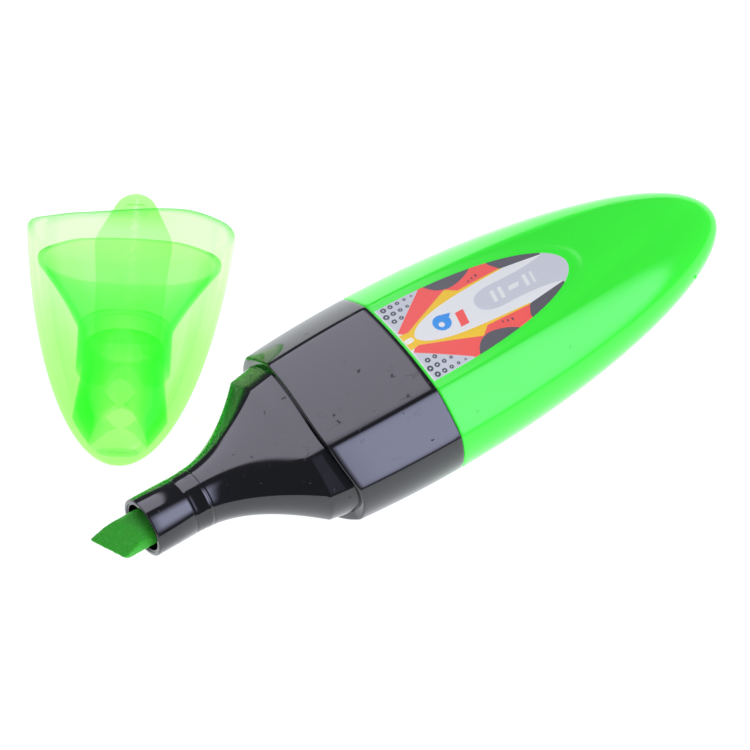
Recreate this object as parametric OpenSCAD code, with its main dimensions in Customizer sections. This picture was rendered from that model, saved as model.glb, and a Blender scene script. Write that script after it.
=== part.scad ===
// Flat oval highlighter, uncapped, with its cap lying beside it.
// +X runs along the pen from the nib (-X) to the tail (+X), +Z is up.
// The origin is on the surface it lies on, under the widest part of the pen.

/* [Body outline] */
// Half width of the pen at its widest place
half_w = 14.7; // [12:0.1:18]
// Half thickness of the pen at its thickest place
half_t = 8.6; // [8.2:0.1:11]
// From the widest place back to the tail tip
tail_len = 52.9; // [48:0.1:60]
// From the widest place forward to the cap's tip
nose_len = 49; // [48.8:0.1:58]

/* [Facets] */
// Side of the flat top facet, as a share of half the width
top_edge_y = 0.571; // [0.5:0.001:0.62]
// Height of the flat top facet's side, as a share of half the thickness
top_edge_z = 0.907; // [0.86:0.001:0.94]
// Side of the slanted facet, as a share of half the width
side_edge_y = 0.952; // [0.92:0.001:0.97]
// Height of the slanted facet's lower side, as a share of half the thickness
side_edge_z = 0.407; // [0.35:0.001:0.45]
// How far a slanted facet bulges, as a share of the half sizes
facet_bulge = 0.022; // [0.01:0.001:0.04]
// Depth of the flat that the pen lies on, cut off the lowest facet
rest_flat = 0.12; // [0.05:0.01:0.2]

/* [Split lines] */
// Where the barrel meets the front section
joint_x = 2.4; // [1:0.1:4]
// Where the cap meets the front section, at the middle of the pen
ledge_x = -14.5; // [-16:0.1:-13]
// How far the cap line runs back towards the tail at the pen's sides
ledge_bow = 0.9; // [0:0.1:1.4]
// How far the cap line leans back on one side of the top and forward on the other
ledge_skew = 0.6; // [0:0.1:0.8]
// Gap between the cap's rim and the ledge when it is capped
ledge_gap = 0.1; // [0.05:0.01:0.3]

/* [Walls] */
// Wall of the barrel and of the front section's skirt
wall = 1.5; // [1.2:0.1:1.8]
// Wall of the cap
cap_wall = 1.1; // [0.9:0.05:1.3]
// Length of the front section's spigot inside the barrel
spigot_len = 8; // [5:0.5:12]
// Gap between the spigot and the barrel
spigot_gap = 0.06; // [0.04:0.01:0.15]

/* [Neck and nozzle] */
// Front end of the straight plug that the cap grips
plug_x = -17.4; // [-18.4:0.1:-17]
// Gap between the plug and the cap
plug_gap = 0.12; // [0.08:0.01:0.2]
// Where the curved neck becomes the round nozzle
neck_x = -31.6; // [-32.5:0.1:-31]
// How sharply the neck narrows behind the nozzle
neck_power = 1.8; // [1.5:0.1:2.2]
// Front end of the nozzle
nozzle_x = -39.8; // [-40.3:0.1:-39]
// Radius of the nozzle
nozzle_r = 4.25; // [4.1:0.01:4.4]
// Radius of the nozzle's open mouth
mouth_r = 3.45; // [3.3:0.01:3.55]
// Depth of the nozzle's open mouth
mouth_depth = 2.6; // [2:0.1:4]

/* [Nib] */
// Width of the nib
nib_w = 5.2; // [4.8:0.1:5.4]
// Thickness of the nib
nib_t = 3.8; // [3.4:0.1:4]
// Corner radius of the nib's cross-section
nib_corner = 1.5; // [1:0.1:1.7]
// Furthest point of the nib
nib_x = -46.6; // [-46.8:0.1:-45]
// Rear end of the nib, inside the reservoir
nib_rear_x = -8; // [-9:0.5:-6]
// Slant of the writing edge
nib_slant = 23; // [20:1:30]
// Angle of the writing facet
nib_bevel = 31; // [27:1:36]

/* [Ink reservoir] */
// Radius of the fibre reservoir
reservoir_r = 4.9; // [4.4:0.1:4.95]
// Front end of the reservoir
reservoir_x = -12; // [-12.5:0.5:-11]
// Length of the reservoir
reservoir_len = 40; // [36:1:42]
// Thickness of the film around the reservoir
film_t = 0.15; // [0.1:0.01:0.2]

/* [Label] */
// Width of the label at its front end
label_w = 14; // [12:0.5:15]
// Length of the label
label_len = 26.3; // [22:0.1:29]
// Thickness of the label
label_t = 0.12; // [0.1:0.01:0.15]

/* [Cap] */
// Radius of the seal sleeve's bore, which slides over the nozzle
sleeve_bore_r = 4.3; // [4.27:0.01:4.45]
// Wall of the seal sleeve
sleeve_wall = 1.05; // [0.9:0.05:1.15]
// Mouth of the seal sleeve
sleeve_x = -31.2; // [-32:0.1:-30.5]
// Depth of the rim above the liner's edge
rim_depth = 3.9; // [3.4:0.1:4.4]
// Wall of the liner
liner_wall = 0.9; // [0.8:0.05:1]

/* [Clip] */
// Free end of the clip
clip_end_x = -2.8; // [-4:0.1:-2]
// Thickness of the clip's free arm
clip_t = 1.2; // [1:0.1:1.4]
// Half width of the clip at its widest
clip_half_w = 5.2; // [4:0.1:6]
// Half width of the clip at its root
clip_root_half_w = 4.4; // [3:0.1:5]

/* [Cap's place] */
// Where the cap's widest place lies, along the pen
cap_pos_x = -5; // [-6:0.1:0]
// Where the cap's widest place lies, beside the pen
cap_pos_y = 51.8; // [50:0.1:60]
// Direction of the cap's mouth, seen from above
cap_yaw = 52.3; // [45:0.1:60]
// Slope of the clip's straight outer face, and so the tilt of the cap that lies on it
cap_tilt = 9.2; // [8.5:0.1:10]

/* [Hidden] */
$fn = 96;
axis_z = half_t - rest_flat;            // height of the pen's axis
green = [0.25, 0.92, 0.27];
clear_green = [0.45, 1, 0.35, 0.6];
black = [0.13, 0.13, 0.15];
plug_inset = cap_wall + plug_gap;
sleeve_r = sleeve_bore_r + sleeve_wall;
liner_collar_r = sleeve_r + 0.1 + liner_wall;
liner_x = ledge_x - rim_depth;          // the liner's edge
nose_stop_x = -nose_len + 1.7;          // front end of the cap's hollow
reservoir_end = reservoir_x + reservoir_len;
// The line of the clip's outer face: a tangent to the cap's side profile
function clip_face(x) = sqrt(pow(half_t, 2) + pow(nose_len * tan(cap_tilt), 2)) + x * tan(cap_tilt);
cap_pos_z = clip_face(0) * cos(cap_tilt);   // so that the cap lies on that face
top_parts = 6;                          // pieces that each facet's arc is drawn in
slant_parts = 4;
side_parts = 4;

// ---- Cross-section: eight crowned facets, in shares of the half sizes ----

function arch(t) = 4 * t * (1 - t);
function facet(p, q, out, parts) =
    [for (i = [0:parts - 1]) let (t = i / parts) p + (q - p) * t + out * arch(t)];
side_top = [side_edge_y, side_edge_z];
top_side = [top_edge_y, top_edge_z];
function flip_y(p) = [-p[0], p[1]];
function flip_z(p) = [p[0], -p[1]];
SECTION = concat(
    facet(flip_z(side_top), side_top, [1 - side_edge_y, 0], side_parts),
    facet(side_top, top_side, [facet_bulge, facet_bulge], slant_parts),
    facet(top_side, flip_y(top_side), [0, 1 - top_edge_z], top_parts),
    facet(flip_y(top_side), flip_y(side_top), [-facet_bulge, facet_bulge], slant_parts),
    facet(flip_y(side_top), -side_top, [side_edge_y - 1, 0], side_parts),
    facet(-side_top, -top_side, [-facet_bulge, -facet_bulge], slant_parts),
    facet(-top_side, flip_z(top_side), [0, top_edge_z - 1], top_parts),
    facet(flip_z(top_side), flip_z(side_top), [facet_bulge, -facet_bulge], slant_parts)
);

// A rounder section that the facets fade into towards the two ends
round_power = 2.25;
function rounded(p) =
    let (d = p / norm(p))
    d / pow(pow(abs(d[0]), round_power) + pow(abs(d[1]), round_power), 1 / round_power);
function blend(p, q, k) = p * (1 - k) + q * k;
function smooth(t) = let (c = min(max(t, 0), 1)) c * c * (3 - 2 * c);

// ---- Outline along the pen ----

function outline(x) = sqrt(max(0, 1 - pow(x / (x < 0 ? nose_len : tail_len), 2)));
function fade(x) = x > joint_x ? smooth((x - joint_x) / (tail_len - joint_x))
                 : 0.6 * smooth((ledge_x - x) / (nose_len + ledge_x));
function body_ring(x, inset = 0) =
    let (w = half_w * outline(x) - inset, t = half_t * outline(x) - inset)
    [for (p = SECTION) let (q = blend(p, rounded(p), fade(x))) [x, q[0] * w, q[1] * t]];

// The cap line: how far it runs ahead of or behind its middle, across the pen
function cap_line(y) =
    let (s = y / half_w)
    ledge_bow * pow(abs(s), 3) + ledge_skew * (2.6 * s - 3.1 * pow(s, 3));
function ledge_ring(inset, shift = 0) =
    [for (p = body_ring(ledge_x, inset))
        let (d = cap_line(p[1]) + shift, g = outline(ledge_x + d) / outline(ledge_x))
        [ledge_x + d, p[1] * g, p[2] * g]];

// ---- Lofting ----

function ring_middle(ring) = [for (k = [0:2]) [for (p = ring) p[k]] * [for (p = ring) 1] / len(ring)];

// A closed solid through rings of points. Its two ends are fans round their middles, or
// for a thin strip, rungs between the ring's first half and its second half
module loft(rings, strip = false) {
    n = len(rings[0]);
    last = len(rings) - 1;
    points = concat([for (r = rings) each r], strip ? [] : [ring_middle(rings[0]), ring_middle(rings[last])]);
    first_mid = n * (last + 1);
    last_mid = first_mid + 1;
    skin = [for (i = [0:last - 1], k = [0:n - 1])
        let (a = i * n + k, b = i * n + (k + 1) % n)
        each [[a, b + n, b], [a, a + n, b + n]]];
    fans = [for (k = [0:n - 1]) let (j = (k + 1) % n)
        each [[first_mid, k, j], [last_mid, last * n + j, last * n + k]]];
    rungs = [for (k = [0:n / 2 - 2])
        let (j = k + 1, p = n - 1 - k, q = n - 2 - k, e = last * n)
        each [[k, j, q], [k, q, p], [e + j, e + k, e + p], [e + j, e + p, e + q]]];
    polyhedron(points, concat(skin, strip ? rungs : fans), convexity = 6);
}

// Stations from a to b that crowd together towards b, where the end rounds off
function stations(a, b, length, steps) =
    let (u = asin(a / length), v = asin(min(b / length, 1)))
    [for (i = [0:steps]) length * sin(u + (v - u) * i / steps)];

module along_x(x) translate([x, 0, 0]) rotate([0, 90, 0]) children();
module rod(x0, x1, r) along_x(x0) cylinder(r = r, h = x1 - x0);

// Everything that belongs to the pen, raised so that it lies on the surface
module lay_pen() translate([0, 0, axis_z]) children();
// Everything that belongs to the cap, turned over onto its clip beside the pen
module lay_cap() translate([cap_pos_x, cap_pos_y, cap_pos_z]) rotate([180, -cap_tilt, cap_yaw]) children();

// Takes the flat that the pen lies on off its lowest facet
module flat_below() {
    difference() {
        children();
        translate([-30, -20, -half_t - 10 + rest_flat]) cube([60, 40, 10]);
    }
}

// ---- Barrel and label ----

tail_solid_x = tail_len - 0.35;         // the tail ends in a tiny flat here
module barrel_outside(inset = 0) {
    loft([for (x = stations(joint_x, tail_solid_x, tail_len, 24)) body_ring(x, inset * outline(x))]);
}
module barrel_inside() {
    loft(concat([body_ring(joint_x - 1, wall)],
        [for (x = stations(joint_x + 0.5, tail_len - 6, tail_len, 14)) body_ring(x, wall)]));
}

rib_t = 1.2;
rib_xs = [16, 26];                      // rings that hold the reservoir
module reservoir_ribs() {
    intersection() {
        difference() {
            union() {
                for (x = rib_xs) translate([x, -half_w, -half_t]) cube([rib_t, 2 * half_w, 2 * half_t]);
                translate([reservoir_end + 0.1, -rib_t / 2, -half_t]) cube([12, rib_t, 2 * half_t]);
            }
            rod(rib_xs[0] - 1, reservoir_end + 0.1, reservoir_r + film_t + 0.06);
            rod(reservoir_end, reservoir_end + 13, 2.5);
        }
        barrel_outside(wall / 2);
    }
}

module barrel() {
    color(green) lay_pen() flat_below() union() {
        difference() {
            barrel_outside();
            barrel_inside();
        }
        reservoir_ribs();
    }
}

// The label is a thin sheet that follows the top facet, from a straight front
// end to a rounded rear end
label_x = joint_x + 0.35;
label_lift = 0.04;                      // the glue under it
label_across = 8;                       // pieces that its arc is drawn in
label_along = 16;
function label_side(u) = label_w / 2 * sqrt(1 - pow(u, 2.2));
function facet_top(x, y) =
    lookup(y, [for (p = body_ring(x)) if (p[2] > 0.5 * half_t * outline(x)) [p[1], p[2]]]);
function label_ring(u) =
    let (x = label_x + label_len * u, side = label_side(u), m = label_across)
    concat([for (i = [0:m]) let (y = side * (1 - 2 * i / m)) [x, y, facet_top(x, y) + label_lift + label_t]],
        [for (i = [0:m]) let (y = -side * (1 - 2 * i / m)) [x, y, facet_top(x, y) + label_lift]]);
module label() {
    color([0.86, 0.87, 0.9]) lay_pen()
        loft([for (i = [0:label_along]) label_ring(0.997 * sin(90 * i / label_along))], strip = true);
}

// ---- Front section: skirt, plug, neck, nozzle and spigot ----

skirt_stops = [0.12, 0.3, 0.5, 0.75, 1];
module skirt_outside(inset = 0) {
    loft(concat([ledge_ring(inset)],
        [for (s = skirt_stops)
            [for (p = body_ring(ledge_x + (joint_x - ledge_x) * s, inset))
                p + [cap_line(p[1]) * (1 - s) * (1 - s), 0, 0]]]));
}

function neck_share(x, power) = pow(max(0, (x - neck_x) / (plug_x - neck_x)), power);
function neck_ring(x, grow = 0, power = neck_power) =
    let (g = neck_share(x, power), plug = body_ring(plug_x, plug_inset), n = len(plug))
    [for (p = plug)
        let (a = atan2(p[2] / half_t, p[1] / half_w), round = [x, nozzle_r * cos(a), nozzle_r * sin(a)],
             q = blend(round, p, g), out = [0, q[1], q[2]] / norm([0, q[1], q[2]]))
        [x, q[1] + out[1] * grow, q[2] + out[2] * grow]];
neck_steps = 12;

module plug_and_neck() {
    loft(concat([for (i = [0:neck_steps]) neck_ring(neck_x + (plug_x - neck_x) * i / neck_steps)],
        [body_ring(ledge_x + 2, plug_inset)]));
}

// The nib's cross-section, run along the pen; grown a little, it is the slot that holds it
module nib_rod(x0, x1, grow = 0) {
    along_x(x0) linear_extrude(x1 - x0) union() {
        for (a = [-1, 1], b = [-1, 1])
            translate([a * (nib_t / 2 - nib_corner), b * (nib_w / 2 - nib_corner)])
                circle(nib_corner + grow);
        square([nib_t - 2 * nib_corner, nib_w + 2 * grow], center = true);
        square([nib_t + 2 * grow, nib_w - 2 * nib_corner], center = true);
    }
}

ring_x = -33.7;                         // the step round the nozzle, where the seal stops
ring_drop = 0.17;
ring_w = 0.7;
nozzle_round = 0.25;
module nozzle() {
    behind = nozzle_r - 0.05;
    in_neck = neck_x + 1.5;
    along_x(0) rotate_extrude() polygon([
        [0, nozzle_x], [nozzle_r - nozzle_round, nozzle_x], [nozzle_r, nozzle_x + nozzle_round],
        [nozzle_r, ring_x], [nozzle_r - ring_drop, ring_x], [nozzle_r - ring_drop, ring_x + ring_w],
        [behind, ring_x + ring_w], [behind, in_neck], [0, in_neck]]);
}

module front_section() {
    color(black) lay_pen() flat_below() difference() {
        union() {
            difference() {
                union() {
                    skirt_outside();
                    loft([body_ring(joint_x - 2, wall + spigot_gap),
                        body_ring(joint_x + spigot_len - 0.6, wall + spigot_gap),
                        body_ring(joint_x + spigot_len, wall + spigot_gap + 0.4)]);
                }
                loft([body_ring(reservoir_x + 1.6, 2 * wall + spigot_gap),
                    body_ring(joint_x + spigot_len + 1, 2 * wall + spigot_gap)]);
            }
            plug_and_neck();
            nozzle();
            rod(reservoir_x, reservoir_x + 7, reservoir_r + film_t + 1);
        }
        rod(nozzle_x - 1, nozzle_x + mouth_depth, mouth_r);
        nib_rod(nozzle_x, reservoir_x + 1, 0.06);
        rod(reservoir_x - 0.05, reservoir_x + 8, reservoir_r + film_t + 0.05);
    }
}

// ---- Nib, reservoir and film ----

edge_drop = 0.3;                        // the writing edge lies this far below the nib's middle
under_bevel = 48;                       // angle of the short facet under the writing edge
module nib() {
    edge_mid = nib_x + nib_w / 2 * tan(nib_slant);
    length = nib_rear_x - nib_x;
    rise = nib_t * 2;                   // the wedge stands clear of the rod behind the facets
    color([0.24, 0.7, 0.2]) lay_pen() intersection() {
        nib_rod(nib_x - 1, nib_rear_x);
        translate([edge_mid, 0, -edge_drop]) rotate([0, 0, nib_slant]) translate([0, length, 0])
            rotate([90, 0, 0]) linear_extrude(2 * length)
                polygon([[0, 0], [rise / tan(nib_bevel), rise], [2 * length, rise],
                    [2 * length, -rise], [rise / tan(under_bevel), -rise]]);
    }
}

module ink_reservoir() {
    color([0.35, 0.85, 0.25]) lay_pen() difference() {
        rod(reservoir_x, reservoir_end, reservoir_r);
        nib_rod(reservoir_x - 1, nib_rear_x + 0.05, 0.05);
    }
}

module reservoir_film() {
    color([0.9, 0.92, 0.95]) lay_pen() difference() {
        rod(reservoir_x, reservoir_end, reservoir_r + film_t);
        rod(reservoir_x - 1, reservoir_end + 1, reservoir_r);
    }
}

// ---- Cap ----

module nose_outside(inset = 0, end = nose_len - 0.3) {
    loft(concat([for (x = stations(-end, ledge_x - 1.2, nose_len, 20)) body_ring(x, inset)],
        [ledge_ring(inset, -ledge_gap)]));
}

module cap_hollow(inset = 0) {
    loft(concat([for (x = stations(nose_stop_x, ledge_x - 1.2, nose_len, 14)) body_ring(x, cap_wall + inset)],
        [for (d = [0.2, 3]) body_ring(ledge_x + d, cap_wall + inset)]));
}

liner_gap = 0.08;                       // between the liner and the cap it is pressed into
sleeve_root_x = -45;                    // where the seal sleeve runs out into the cap's walls
module cap_shell() {
    color(clear_green) lay_cap() difference() {
        union() {
            difference() {
                nose_outside();
                cap_hollow();
            }
            intersection() {
                rod(sleeve_root_x, sleeve_x, sleeve_r);
                nose_outside(cap_wall / 4);
            }
        }
        rod(nozzle_x - 0.5, sleeve_x + 1, sleeve_bore_r);
        intersection() {
            rod(nose_stop_x, nozzle_x, mouth_r);
            cap_hollow();
        }
    }
}

liner_clear = 0.3;                      // between the neck and the liner, at the least
liner_power = 1.4;                      // the liner's funnel is straighter than the neck
liner_stop_x = -29.2;                   // where the liner's funnel ends on its collar
liner_collar_x = -34.8;                 // front end of that collar, round the seal sleeve
function liner_ring(x, grow) = neck_ring(x, grow, liner_power);
module cap_liner() {
    funnel = [for (i = [0:8]) liner_stop_x + (liner_x - liner_stop_x) * i / 8];
    color(clear_green) lay_cap() difference() {
        intersection() {
            union() {
                loft([for (x = funnel) liner_ring(x, liner_clear + liner_wall)]);
                rod(liner_collar_x, liner_stop_x + 0.5, liner_collar_r);
            }
            cap_hollow(liner_gap);
        }
        loft(concat([for (x = funnel) liner_ring(x, liner_clear)], [liner_ring(liner_x + 1, liner_clear)]));
        rod(liner_collar_x - 1, liner_stop_x + 0.2, sleeve_r + liner_gap);
    }
}

// The clip's outer face is straight and runs off the cap's top at a tangent. Its
// root fills the wedge over the cap, and its arm stands free of the cap
clip_root_x = -27;
function shell_top(x) = half_t * outline(x);
function clip_inner(x) = max(shell_top(x) + clip_seam, clip_face(x) - clip_t);
clip_seam = 0.02;
clip_lip = 0.4;                         // the free end's inner edge is eased off by this
module clip_side() {
    steps = 16;
    xs = [for (i = [0:steps]) clip_end_x + (clip_root_x - clip_end_x) * i / steps];
    polygon(concat([[clip_root_x, clip_face(clip_root_x)], [clip_end_x, clip_face(clip_end_x)]],
        [for (x = xs) [x, clip_inner(x) + (x == clip_end_x ? clip_lip : 0)]]));
}
clip_end_r = 2.9;                       // the free end's round
clip_belly_x = clip_end_x - 8.5;        // where the clip is widest
clip_waist_x = clip_end_x - 13.5;
module clip_plan() {
    waist = clip_root_half_w + 0.4;
    hull() {
        translate([clip_end_x - clip_end_r, 0]) circle(clip_end_r);
        translate([clip_belly_x, 0]) circle(clip_half_w);
    }
    polygon([[clip_belly_x, -clip_half_w], [clip_belly_x, clip_half_w],
        [clip_waist_x, waist], [clip_root_x - 1, clip_root_half_w],
        [clip_root_x - 1, -clip_root_half_w], [clip_waist_x, -waist]]);
}
bead_r = 1;                             // the bead inside the free end grips the pocket
bead_len = 3;
module pocket_clip() {
    bead_x = clip_end_x - clip_end_r;
    color(clear_green) lay_cap() union() {
        intersection() {
            translate([0, half_w, 0]) rotate([90, 0, 0]) linear_extrude(2 * half_w) clip_side();
            linear_extrude(2 * half_w) clip_plan();
        }
        translate([bead_x, -bead_len / 2, clip_face(bead_x) - bead_r - 0.15])
            rotate([-90, 0, 0]) cylinder(r = bead_r, h = bead_len);
    }
}

barrel();
front_section();
nib();
ink_reservoir();
reservoir_film();
label();
cap_shell();
cap_liner();
pocket_clip();
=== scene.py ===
"""Flat oval highlighter, uncapped, with its clear cap lying beside it.

Shapes are worked out in millimetres, from the same driving sizes as the CAD model, and
become metres when a mesh is made. +X runs along the pen from the nib to the tail, +Z is up.
"""
import math

import bpy
import bmesh
import numpy as np
from mathutils import Matrix, Vector, noise


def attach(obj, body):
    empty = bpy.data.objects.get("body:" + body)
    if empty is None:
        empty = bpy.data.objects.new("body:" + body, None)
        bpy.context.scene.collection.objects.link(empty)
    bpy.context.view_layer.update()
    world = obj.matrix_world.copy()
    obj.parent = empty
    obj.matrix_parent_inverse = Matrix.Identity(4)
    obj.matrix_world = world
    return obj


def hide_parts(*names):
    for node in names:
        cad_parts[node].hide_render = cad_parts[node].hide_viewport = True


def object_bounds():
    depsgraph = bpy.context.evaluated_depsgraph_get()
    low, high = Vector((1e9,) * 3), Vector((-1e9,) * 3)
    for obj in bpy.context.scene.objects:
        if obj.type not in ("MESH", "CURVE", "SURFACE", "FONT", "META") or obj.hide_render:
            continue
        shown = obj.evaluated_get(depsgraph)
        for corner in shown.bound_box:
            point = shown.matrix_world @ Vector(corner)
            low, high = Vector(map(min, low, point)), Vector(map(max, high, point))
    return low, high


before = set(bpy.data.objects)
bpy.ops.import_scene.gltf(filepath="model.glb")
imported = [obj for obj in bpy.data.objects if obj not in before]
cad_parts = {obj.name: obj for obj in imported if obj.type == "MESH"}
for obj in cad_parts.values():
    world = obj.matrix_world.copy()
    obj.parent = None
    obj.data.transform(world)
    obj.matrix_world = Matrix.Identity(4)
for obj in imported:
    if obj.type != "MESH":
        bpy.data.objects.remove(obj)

CAD_LOW, CAD_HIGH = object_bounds()
MM = 0.001

# ---- Driving sizes, in millimetres, as in the CAD model ----
HALF_W, HALF_T = 14.7, 8.6
TAIL, NOSE = 52.9, 49.0
REST_FLAT = 0.12
AXIS_Z = HALF_T - REST_FLAT
JOINT_X, LEDGE_X = 2.4, -14.5
LEDGE_BOW, LEDGE_SKEW, LEDGE_GAP = 0.9, 0.6, 0.1
WALL, CAP_WALL = 1.5, 1.1
SPIGOT_LEN, SPIGOT_GAP = 8.0, 0.06
PLUG_X, PLUG_GAP = -17.4, 0.12
NECK_X, NECK_POWER = -31.6, 1.8
NOZZLE_X, NOZZLE_R = -39.8, 4.25
MOUTH_R, MOUTH_DEPTH = 3.45, 2.6
NIB_W, NIB_T, NIB_CORNER = 5.2, 3.8, 1.5
NIB_X, NIB_REAR_X, EDGE_DROP = -46.6, -8.0, 0.3
NIB_SLANT, NIB_BEVEL, UNDER_BEVEL = 23.0, 31.0, 48.0       # degrees
RESERVOIR_X, RESERVOIR_R, FILM_T = -12.0, 4.9, 0.15
LABEL_X, LABEL_W, LABEL_LEN = JOINT_X + 0.35, 14.0, 26.3
SLEEVE_BORE_R, SLEEVE_WALL, SLEEVE_X, SLEEVE_ROOT_X = 4.3, 1.05, -31.2, -45.0
RIM_DEPTH, LINER_WALL, LINER_CLEAR, LINER_GAP, LINER_POWER = 3.9, 0.9, 0.3, 0.08, 1.4
LINER_STOP_X, LINER_COLLAR_X = -29.2, -34.8
CLIP_END_X, CLIP_ROOT_X, CLIP_T, CLIP_HALF_W, CLIP_ROOT_HALF_W = -2.8, -27.0, 1.2, 5.2, 4.4
CAP_POS_X, CAP_POS_Y = -5.0, 51.8
CAP_YAW, CAP_TILT = 52.3, 9.2                               # degrees


def srgb(r, g, b):
    """A colour given in 0 to 255, as linear light."""
    shares = [c / 255 for c in (r, g, b)]
    return tuple(c / 12.92 if c <= 0.04 else ((c + 0.055) / 1.055) ** 2.4 for c in shares)


# ---- Cross-section: eight crowned facets with rounded creases, in shares of the half sizes ----
SIDE_TOP, TOP_SIDE, BULGE = np.array([0.952, 0.407]), np.array([0.571, 0.907]), 0.015
QUARTER, FACET, FINE = 40, 60, 4096     # points in a section's quarter, a raw facet, a smoothed loop
LENGTH_PULL, CREASE_PULL = 1 / 16, 0.9  # how strongly length and turning draw points to themselves
ROUND_POWER = 2.25
NOSE_FADE = 0.6                         # how far the facets have faded at the nose


def facet(p, q, out):
    """Points from p towards q on a line that bows by out in its middle."""
    t = np.linspace(0, 1, FACET, endpoint=False)[:, None]
    return p + (q - p) * t + np.array(out) * 4 * t * (1 - t)


def smooth_closed(points, reach):
    """The closed curve with its corners smoothed over reach, resampled evenly."""
    loop = np.vstack([points, points[:1]])
    step = np.linalg.norm(np.diff(loop, axis=0), axis=1)
    run = np.concatenate([[0], np.cumsum(step)])
    even = np.linspace(0, run[-1], FINE, endpoint=False)
    curve = np.interp(even, run, loop[:, 0]) + 1j * np.interp(even, run, loop[:, 1])
    wave = np.fft.fftfreq(len(curve)) * len(curve) * 2 * math.pi / run[-1]
    curve = np.fft.ifft(np.fft.fft(curve) * np.exp(-0.5 * (wave * reach) ** 2))
    return np.stack([curve.real, curve.imag], 1)


def make_section(crease):
    """A section with creases smoothed over crease millimetres, and the rounder one it fades to."""
    flip_y, flip_z = np.array([-1, 1]), np.array([1, -1])
    half = [
        facet(SIDE_TOP * flip_z, SIDE_TOP, (1 - SIDE_TOP[0], 0)),
        facet(SIDE_TOP, TOP_SIDE, (BULGE, BULGE)),
        facet(TOP_SIDE, TOP_SIDE * flip_y, (0, 1 - TOP_SIDE[1])),
        facet(TOP_SIDE * flip_y, SIDE_TOP * flip_y, (-BULGE, BULGE)),
    ]
    whole = np.vstack(half + [-h for h in half])
    curve = smooth_closed(whole * (HALF_W, HALF_T), crease) / (HALF_W, HALF_T)
    corner = curve[(curve[:, 0] >= 0) & (curve[:, 1] >= 0)]
    corner = corner[np.argsort(np.arctan2(corner[:, 1], corner[:, 0]))]
    corner = np.vstack([[corner[0, 0], 0], corner, [0, corner[-1, 1]]])
    step = np.diff(corner * (HALF_W, HALF_T), axis=0)
    turn = np.abs(np.gradient(np.unwrap(np.arctan2(step[:, 1], step[:, 0]))))
    weight = np.linalg.norm(step, axis=1) * LENGTH_PULL + turn * CREASE_PULL
    run = np.concatenate([[0], np.cumsum(weight)])
    at = np.linspace(0, run[-1], QUARTER + 1)
    quarter = np.stack([np.interp(at, run, corner[:, k]) for k in (0, 1)], 1)
    top = np.vstack([quarter, (quarter * flip_y)[-2::-1]])
    share = np.vstack([top[:-1], -top[:-1]])
    way = share / np.linalg.norm(share, axis=1)[:, None]
    return share, way / (np.abs(way) ** ROUND_POWER).sum(1)[:, None] ** (1 / ROUND_POWER)


PEN = make_section(0.3)
CAP = make_section(1.2)         # the cap's creases are softer
N = len(PEN[0])
AROUND = np.arctan2(PEN[0][:, 1], PEN[0][:, 0])             # each point's angle on a round ring


def smooth(t):
    """0 up to t = 0, 1 from t = 1 on, and a smooth rise between them."""
    t = np.clip(t, 0, 1)
    return t * t * (3 - 2 * t)


def outline(x):
    """The body's size at x as a share of its greatest: two half ovals, nose and tail."""
    x = np.asarray(x, float)
    return np.sqrt(np.maximum(0, 1 - (x / np.where(x < 0, NOSE, TAIL)) ** 2))


def fade(x):
    """How far the facets have faded into the rounder section."""
    x = np.asarray(x, float)
    return np.where(x > JOINT_X, smooth((x - JOINT_X) / (TAIL - JOINT_X)),
                    NOSE_FADE * smooth((LEDGE_X - x) / (NOSE + LEDGE_X)))


def body_ring(x, inset=0.0, section=PEN):
    """The body's section at x, which is one number or one for each point, pulled in by inset."""
    x = np.broadcast_to(np.asarray(x, float), (N,))
    k = fade(x)[:, None]
    share = section[0] * (1 - k) + section[1] * k
    g = outline(x)
    return np.stack([x, share[:, 0] * (HALF_W * g - inset), share[:, 1] * (HALF_T * g - inset)], 1)


def round_ring(x, r):
    return np.stack([np.full(N, float(x)), r * np.cos(AROUND), r * np.sin(AROUND)], 1)


def cap_line(y):
    """How far the ledge and the cap's rim reach towards the tail at y: a bow with a slow wave."""
    s = y / HALF_W
    return LEDGE_BOW * np.abs(s) ** 3 + LEDGE_SKEW * (2.6 * s - 3.1 * s ** 3)


LEDGE_SHIFT = cap_line(body_ring(LEDGE_X)[:, 1])            # the ledge's line, for each point
PLUG_INSET, PLUG_TAPER = CAP_WALL + PLUG_GAP, 0.36          # at the plug's back, more at its front


def ledge_ring(inset=0.0, shift=0.0):
    return body_ring(LEDGE_X + LEDGE_SHIFT + shift, inset)


def neck_ring(x, grow=0.0, power=NECK_POWER, section=PEN):
    """The section at x of the neck, which opens from the round nozzle to the front of the plug."""
    g = max(0.0, (x - NECK_X) / (PLUG_X - NECK_X)) ** power
    plug = body_ring(PLUG_X, PLUG_INSET + PLUG_TAPER, section)
    ring = round_ring(x, NOZZLE_R) * (1 - g) + plug * g
    flat = ring[:, 1:]
    flat = flat + flat / np.linalg.norm(flat, axis=1)[:, None] * grow
    return np.column_stack([np.full(N, float(x)), flat])


def stations(a, b, length, steps):
    """Places from a to b that crowd together towards the end of an oval of that half length."""
    turns = np.linspace(math.asin(a / length), math.asin(b / length), steps + 1)
    return [length * math.sin(t) for t in turns]


def rounding(steps=5):
    """Pairs (ahead, in) from 0,1 to 1,0 along a quarter circle, for a rounded edge."""
    return [(1 - math.cos(a), 1 - math.sin(a)) for a in np.linspace(0, math.pi / 2, steps + 1)]


# ---- Where the pen and the cap lie ----
PEN_PLACE = Matrix.Translation((0, 0, AXIS_Z))
CLIP_RISE = math.tan(math.radians(CAP_TILT))


def clip_face(x):
    """The line of the clip's outer face, a tangent to the cap's side profile."""
    return math.sqrt(HALF_T ** 2 + (NOSE * CLIP_RISE) ** 2) + x * CLIP_RISE


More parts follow.
